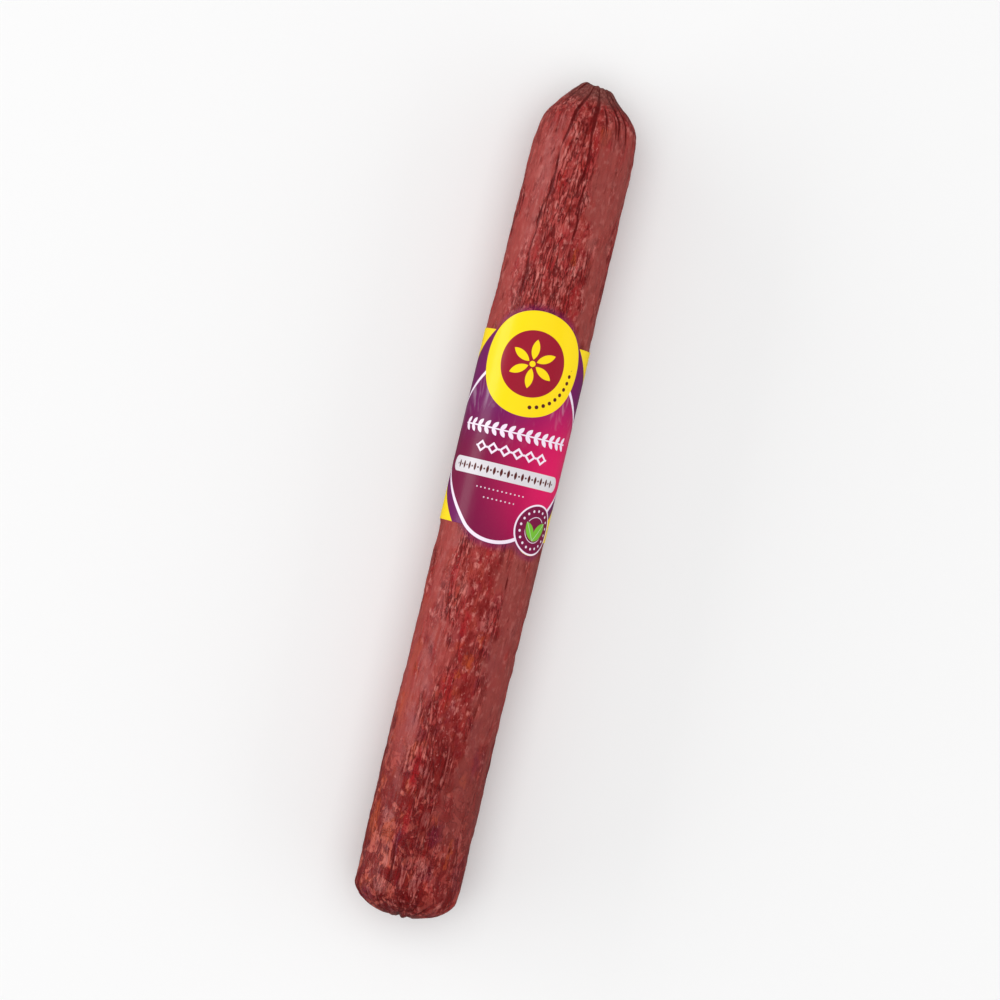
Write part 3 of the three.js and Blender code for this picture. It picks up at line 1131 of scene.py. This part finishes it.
def rosette(u, v):
    """Pointed petals round a small disc."""
    out, aside = around(u, v, PETALS["count"])
    petal = lens_field(out - PETALS["middle"], aside, PETALS["half_length"], PETALS["half_width"])
    return lesser(petal, hypotenuse(u, v) - 0.95)


def badge_dots(u, v):
    """An arc of dots on the badge's rim: a ring of them, cut off by a straight line."""
    return greater(dot_ring(u, v, BADGE_DOTS), u - v * 1.1 + 14.6)


def seal_leaves(along, across):
    """Two leaves that spring from one point, one short and upright and one long and leaning."""
    u, v = along - (SEAL["along"] - 3.5), across - (SEAL["across"] - 0.2)
    first_u, first_v = turned(u, v, -33)
    second_u, second_v = turned(u, v, 36)
    first = lens_field(first_u - 3.4, first_v, half_length=3.4, half_width=1.5)
    second = lens_field(second_u - 3.7, second_v, half_length=3.8, half_width=2.0)
    veins = lesser(abs(first_v), abs(second_v)) - 0.09
    return lesser(first, second), veins


def print_panel(paint, place, along, across, colours):
    """The dark surround, and the panel on it with its shades, its glow at one side, faint clouds at
    the top and its outline."""
    off_glow = hypotenuse((along - GLOW["along"]) * 0.9, across - GLOW["across"])
    clouds = grain(place, 16, 5, seed=1, detail=3, distortion=1.5)
    top = rise(along, 12, 32)
    panel_paint = Paint(paint.tree, colours.wine)
    panel_paint.lay(top, colours.plum)
    panel_paint.lay(rise(off_glow, GLOW["reach"], 3), colours.magenta)
    panel_paint.lay(rise(clouds, 0.5, 0.75) * top * 0.2, colours.white)
    panel = diamond_field(PANEL, along, across)
    paint.lay(inside(diamond_field(SURROUND, along, across)), colours.plum)
    paint.lay(inside(panel), panel_paint.colour)
    paint.lay(rounded_line(panel + PANEL_LINE / 2, PANEL_LINE), colours.white)


def print_rows(paint, along, across, colours):
    """The garland, the lozenges, the two rows of dots and the strip with its ornament."""
    bold = lesser(leaf_row(along, across), lozenge_row(along, across))
    paint.lay(inside(bold), colours.white)
    paint.lay(inside(dot_rows(along, across)) * 0.7, colours.white)
    paint.lay(inside(pill_field(along, across)), colours.pill)
    paint.lay(inside(pill_ornament(along, across)), colours.ink)


def print_seal(paint, along, across, colours):
    """The round seal: a white rim, a ring of dots, a thin ring and the two leaves over it."""
    seal = disc_field(SEAL, along, across)
    dots = dot_ring(along - SEAL["along"], across - SEAL["across"], SEAL_DOTS)
    leaves, veins = seal_leaves(along, across)
    ring = rounded_line(seal + (SEAL["radius"] - SEAL_RING_RADIUS), 0.22)
    paint.lay(inside(seal), colours.white)
    paint.lay(inside(seal + SEAL_RIM), colours.wine)
    paint.lay(greater(ring, inside(dots)) * 0.9, colours.white)
    paint.lay(inside(leaves - 0.3), colours.wine)
    paint.lay(inside(leaves), colours.leaf)
    paint.lay(inside(greater(leaves, veins)) * 0.5, colours.white)


def print_badge(paint, along, across, colours):
    """The badge: a disc in a disc, the rosette and the arc of dots."""
    badge = disc_field(BADGE, along, across)
    u, v = along - BADGE["along"], across - BADGE["across"]
    paint.lay(inside(badge), colours.yellow)
    paint.lay(inside(badge + (BADGE["radius"] - BADGE_DISC_RADIUS)), colours.badge_red)
    paint.lay(inside(rosette(u, v)), colours.yellow)
    paint.lay(inside(badge_dots(u, v)), colours.ink)


def label_material(colours):
    """Printed film. On the yellow ground each colour is laid over the one before where a distance
    field is below zero. The film is glossy, with a faint ripple."""
    material, tree, shader = new_material(
        "printed_film", Specular_IOR_Level=0.22, Coat_Weight=0.26, Coat_Roughness=0.2
    )
    film = use_node(tree, "ShaderNodeUVMap", {"uv_map": "print"})
    u, v, _ = split(Field(tree, film.outputs["UV"]))
    across = (u - 0.5) * (2 * math.pi * LABEL_RADIUS)
    along = v * UV_SPAN + UV_LOW
    place = coordinate(tree)
    paint = Paint(tree, colours.yellow)
    print_panel(paint, place, along, across, colours)
    print_rows(paint, along, across, colours)
    print_seal(paint, along, across, colours)
    print_badge(paint, along, across, colours)
    feed(tree, shader.inputs["Base Color"], paint.colour)

    ripple = grain(place, 14, 5, seed=2, detail=2)
    feed(tree, shader.inputs["Normal"], bump(tree, ripple, 0.12))
    scuffs = grain(place, 1.2, 1.2, seed=3, detail=2)
    feed(tree, shader.inputs["Roughness"], scuffs * 0.16 + 0.32)
    return material


# ---- the clips ----------------------------------------------------------------------------------

CLIP_TURNS = 1.2
CLIP_WIRE = 0.52  # half the wire's thickness


def clip_surface(low, high, rows=72, sides=16):
    """A wire crimped round the neck of the casing: a tube carried along a rounded square of a
    little more than one turn, whose ends pass side by side. The tube narrows to a point at each
    end as the root of one minus a square, and is pressed flatter where the jaws of the crimper
    met it."""
    share = np.linspace(0, 1, rows)[:, None]
    turn = (share - 0.5) * CLIP_TURNS * 2 * math.pi
    square = (np.abs(np.cos(turn)) ** 3 + np.abs(np.sin(turn)) ** 3) ** (-1 / 3)
    reach = (np.array(high) - np.array(low)) / 2 - CLIP_WIRE
    middle = (np.array(high) + np.array(low)) / 2
    centre_x = reach[0] * np.clip((share - 0.5) * 2 * CLIP_TURNS, -1, 1)
    centre_y = reach[1] * square * np.sin(turn)
    centre_z = reach[2] * square * np.cos(turn)
    from_end = np.minimum(share, 1 - share) * rows / 6
    thick = CLIP_WIRE * np.sqrt(1 - np.clip(1 - from_end, 0, 1) ** 2)
    pressed = 1 - 0.16 * np.exp(-((np.cos(2 * turn) - 1) ** 2) / 0.3)
    section = np.arange(sides)[None] / sides * 2 * math.pi
    outward = thick * np.cos(section) * pressed
    sideways = thick * np.sin(section)
    x = centre_x + sideways
    y = centre_y + outward * np.sin(turn)
    z = centre_z + outward * np.cos(turn)
    return np.stack([x + middle[0], y + middle[1], z + middle[2]], axis=2)


def clip_material(colours):
    """Drawn aluminium: pale metal with fine scratches and darker marks from the crimper."""
    material, tree, shader = new_material("drawn_aluminium", Metallic=0.55, Roughness=0.3)
    place = coordinate(tree)
    marks = grain(place, 0.6, 0.5, seed=1, detail=3)
    dark = tuple(0.6 * part for part in colours.clip)
    colour = tint(tree, rise(marks, 0.5, 0.75) * 0.6, colours.clip, dark)
    feed(tree, shader.inputs["Base Color"], colour)
    scratches = grain(place, 0.1, 0.8, seed=2, detail=2)
    feed(tree, shader.inputs["Roughness"], scratches * 0.2 + 0.2)
    feed(tree, shader.inputs["Normal"], bump(tree, scratches, 0.02))
    return material


# ---- operators for the pieces -------------------------------------------------------------------


class SAUSAGE_OT_stick(bpy.types.Operator):
    """Builds the stick of salami in its casing, gathered and dimpled at both ends"""

    bl_idname = "sausage.stick"
    bl_label = "Salami stick"

    def execute(self, context):
        shape = context.scene.sausage_shape
        skin, grid, folded, pinched = stick_surface(shape)
        points, walls, fans = grid_with_poles(grid)
        piece = new_piece("salami_stick", points, "salami_body", "meat_casing", walls, fans)
        values = {
            "folded": folded,
            "pinched": pinched,
            "haze": haze(skin),
            "halo": halo(skin),
            "bunched": bunched(skin),
        }
        for name, value in values.items():
            add_point_values(piece, name, on_points(value))
        colours = context.scene.sausage_colours
        piece.data.materials.append(salami_material(colours, context.scene.label_colours))
        return {"FINISHED"}


class SAUSAGE_OT_label(bpy.types.Operator):
    """Wraps the printed film label round the stick"""

    bl_idname = "sausage.label"
    bl_label = "Film label"

    def execute(self, context):
        grid = label_surface()
        rows, columns = grid.shape[:2]
        faces = quads(rows, columns, close_rows=True)
        piece = new_piece("film_label", grid.reshape(-1, 3), "label_wrap", "label_film", faces)
        column = np.arange(columns)[None]
        u = np.stack([column, column + 1, column + 1, column], axis=2) / columns
        u = np.broadcast_to(u, (rows, columns, 4)).ravel()
        v = (grid.reshape(-1, 3)[faces.ravel(), 0] - UV_LOW) / UV_SPAN
        layer = piece.data.uv_layers.new(name="print")
        layer.data.foreach_set("uv", np.column_stack([u, v]).astype(np.float32).ravel())
        piece.data.materials.append(label_material(context.scene.label_colours))
        piece.visible_diffuse = False  # so that its yellow does not stain the pale floor
        return {"FINISHED"}


class SAUSAGE_OT_clips(bpy.types.Operator):
    """Crimps an aluminium wire clip round the neck of the casing at each end"""

    bl_idname = "sausage.clips"
    bl_label = "End clips"

    def execute(self, context):
        material = clip_material(context.scene.sausage_colours)
        for node in ("gathered_end_clip", "blunt_end_clip"):
            low, high = (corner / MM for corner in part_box(node))
            points, walls, fans = grid_with_poles(clip_surface(low, high))
            clip = new_piece(f"crimped_{node}", points, node, "clip_metal", walls, fans)
            clip.data.materials.append(material)
        return {"FINISHED"}


# ---- the stage, in metres -----------------------------------------------------------------------

FLOOR_SIZE = 8.0
FLOOR_GAP = 0.00005  # between the stick and the floor
WORLD_LIGHT = 0.5  # strength of the world as it lights matt surfaces
MIRRORED_LIGHT = 0.1  # as gloss shows it
BACKGROUND = 0.93  # and as the camera sees it


def pale_floor():
    """A wide matt floor just under the stick."""
    half = FLOOR_SIZE / 2
    corners = [(-half, -half), (half, -half), (half, half), (-half, half)]
    mesh = bpy.data.meshes.new("floor")
    mesh.from_pydata([(x, y, -FLOOR_GAP) for x, y in corners], [], [(0, 1, 2, 3)])
    floor = bpy.data.objects.new("floor", mesh)
    bpy.context.scene.collection.objects.link(floor)
    floor.visible_glossy = False  # so that it leaves no white veil on the stick's sides
    material, _, shader = new_material("matt_paper", Roughness=0.9)
    shader.inputs["Base Color"].default_value = (0.9, 0.9, 0.9, 1)
    mesh.materials.append(material)


# The lights: name, the studio setting that holds its power, width and height, place, turn about X
# in degrees, and whether gloss shows it.
SOFTBOXES = (
    ("left_softbox", "left_light", 3.0, 0.9, (0, 1.86, 0.51), -90, True),
    ("right_softbox", "right_light", 3.0, 1.26, (0, -1.86, 0.69), 90, False),
    ("overhead_light", "overhead_light", 2.4, 2.4, (0, 0, 2), 0, False),
)


def softbox(name, power, width, height, place, turn, mirrored):
    """A rectangular light that faces its own -Z, turned about X, hidden from the camera."""
    light = bpy.data.lights.new(name, "AREA")
    light.shape = "RECTANGLE"
    light.size, light.size_y = width, height
    light.energy = power
    lamp = bpy.data.objects.new(name, light)
    lamp.location = place
    lamp.rotation_euler = (math.radians(turn), 0, 0)
    lamp.visible_camera = False
    lamp.visible_glossy = mirrored
    bpy.context.scene.collection.objects.link(lamp)


def studio_world():
    """Grey light from all round: pale where the camera sees it, and dark in reflections, so that
    only the left softbox shows in the gloss."""
    world = bpy.data.worlds.new("studio")
    world.use_nodes = True
    tree = world.node_tree
    ray = tree.nodes.new("ShaderNodeLightPath")
    seen = Field(tree, ray.outputs["Is Camera Ray"])
    mirrored = Field(tree, ray.outputs["Is Glossy Ray"])
    strength = seen * (BACKGROUND - WORLD_LIGHT) + WORLD_LIGHT
    strength = strength + mirrored * (MIRRORED_LIGHT - WORLD_LIGHT)
    background = tree.nodes["Background"]
    background.inputs["Color"].default_value = (1, 1, 1, 1)
    feed(tree, background.inputs["Strength"], strength)
    bpy.context.scene.world = world


# The camera, in millimetres.
FRAME_WIDTH = 318.5  # what the picture spans at the height of the stick's axis
SENSOR = 36.0
CAMERA_TURN = math.radians(-76.5)
STICK_OFF_CENTRE = (-0.2, -0.03)  # to the right of and above the picture's middle


class SAUSAGE_OT_stage(bpy.types.Operator):
    """Lays the pale floor and sets the softboxes, the world and the camera above the stick"""

    bl_idname = "sausage.stage"
    bl_label = "Studio"

    def execute(self, context):
        studio = context.scene.studio_settings
        pale_floor()
        studio_world()
        for name, setting, *rest in SOFTBOXES:
            softbox(name, getattr(studio, setting), *rest)
        context.scene.view_settings.view_transform = "Standard"

        camera = bpy.data.objects.new("camera", bpy.data.cameras.new("camera"))
        camera.data.sensor_width = SENSOR
        camera.data.lens = studio.lens
        right = np.array([math.cos(CAMERA_TURN), math.sin(CAMERA_TURN)])
        up = np.array([-right[1], right[0]])
        aim = -(STICK_OFF_CENTRE[0] * right + STICK_OFF_CENTRE[1] * up) * MM
        height = FRAME_WIDTH * MM * studio.lens / SENSOR + AXIS_HEIGHT * MM
        camera.location = (*aim, height)
        camera.rotation_euler = (0, 0, CAMERA_TURN)
        context.scene.collection.objects.link(camera)
        context.scene.camera = camera
        return {"FINISHED"}


# ---- panel and registration ---------------------------------------------------------------------


class SAUSAGE_PT_panel(bpy.types.Panel):
    """Lists the steps that build the sausage, in order"""

    bl_idname = "SAUSAGE_PT_panel"
    bl_label = "Cured Sausage"
    bl_space_type = "VIEW_3D"
    bl_region_type = "UI"
    bl_category = "Sausage"

    def draw(self, context):
        for step in STEPS:
            self.layout.operator(step.bl_idname)


STEPS = (SAUSAGE_OT_stage, SAUSAGE_OT_stick, SAUSAGE_OT_label, SAUSAGE_OT_clips)
SETTINGS = {
    "sausage_shape": SausageShape,
    "sausage_colours": SausageColours,
    "label_colours": LabelColours,
    "studio_settings": StudioSettings,
}


def register():
    """Registers the settings, the steps and the panel, and gives each scene the settings."""
    for group in (*SETTINGS.values(), *STEPS, SAUSAGE_PT_panel):
        bpy.utils.register_class(group)
    for name, group in SETTINGS.items():
        setattr(bpy.types.Scene, name, PointerProperty(type=group))


def unregister():
    """Takes back what register did."""
    for name in SETTINGS:
        delattr(bpy.types.Scene, name)
    for group in reversed((*SETTINGS.values(), *STEPS, SAUSAGE_PT_panel)):
        bpy.utils.unregister_class(group)


def main():
    """Builds the stage and every piece."""
    register()
    for step in STEPS:
        section, name = step.bl_idname.split(".")
        getattr(getattr(bpy.ops, section), name)()


if __name__ == "__main__":
    main()
